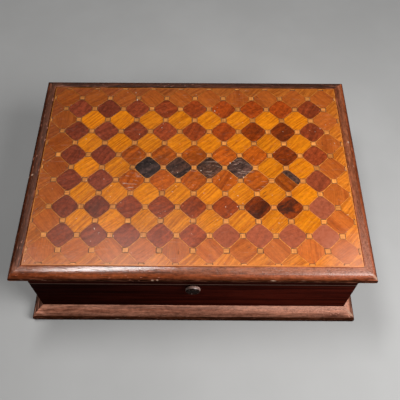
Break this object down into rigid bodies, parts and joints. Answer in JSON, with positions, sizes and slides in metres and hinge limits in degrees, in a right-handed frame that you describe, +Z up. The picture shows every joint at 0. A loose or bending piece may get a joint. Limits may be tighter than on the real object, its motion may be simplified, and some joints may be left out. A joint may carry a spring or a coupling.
{
  "type": "inlaid wooden box",
  "caption": "Shallow rectangular wooden box with a geometric parquetry lid that lifts on back hinges, moulded edges round lid and foot, and a small turned catch knob in front.",
  "frame": {"origin": "centre of the underside, on the surface the box stands on", "axes": "+X along the box's length to the right seen from the front, +Y from the front to the hinged back, +Z up"},
  "size_m": [0.2836, 0.2056, 0.091],
  "materials": {
    "moulding_wood": "dark red-brown hardwood, rubbed varnish, worn arrises",
    "wall_wood": "dark mahogany-coloured hardwood, old varnish",
    "carcass_wood": "plain unvarnished softwood",
    "parquetry": "glued veneer tiles in orange, red-brown, dark and black woods, satin varnish",
    "knob_wood": "turned dark wood, polished",
    "brass": "tarnished brass",
    "steel": "dull steel"
  },
  "bodies": {
    "case": {"wall_front": "wall_wood", "wall_right": "wall_wood", "wall_back": "wall_wood", "wall_left": "wall_wood", "base_moulding_front": "moulding_wood", "base_moulding_right": "moulding_wood", "base_moulding_back": "moulding_wood", "base_moulding_left": "moulding_wood", "bottom_panel": "carcass_wood", "catch_washer": "brass", "hinge_left_leaf_case": "brass", "hinge_left_pin": "steel", "hinge_left_screw_case_1": "steel", "hinge_left_screw_case_2": "steel", "hinge_right_leaf_case": "brass", "hinge_right_pin": "steel", "hinge_right_screw_case_1": "steel", "hinge_right_screw_case_2": "steel"},
    "lid": {"lid_panel": "carcass_wood", "lid_parquetry": "parquetry", "lid_moulding_front": "moulding_wood", "lid_moulding_right": "moulding_wood", "lid_moulding_back": "moulding_wood", "lid_moulding_left": "moulding_wood", "lid_rim_front": "wall_wood", "lid_rim_right": "wall_wood", "lid_rim_back": "wall_wood", "lid_rim_left": "wall_wood", "catch_keeper": "brass", "hinge_left_leaf_lid": "brass", "hinge_left_screw_lid_1": "steel", "hinge_left_screw_lid_2": "steel", "hinge_right_leaf_lid": "brass", "hinge_right_screw_lid_1": "steel", "hinge_right_screw_lid_2": "steel"},
    "catch": {"catch_knob": "knob_wood", "catch_spindle": "steel", "catch_cam": "brass", "catch_nut": "brass"}
  },
  "joints": [
    {"name": "lid_hinge", "type": "hinge", "parent": "case", "child": "lid", "pos_m": [0, 0.0949, 0.0598], "axis": [-1, 0, 0], "range_deg": [0, 105]},
    {"name": "catch_turn", "type": "hinge", "parent": "case", "child": "catch", "pos_m": [0, -0.093, 0.0554], "axis": [0, 1, 0], "range_deg": [0, 90]}
  ]
}
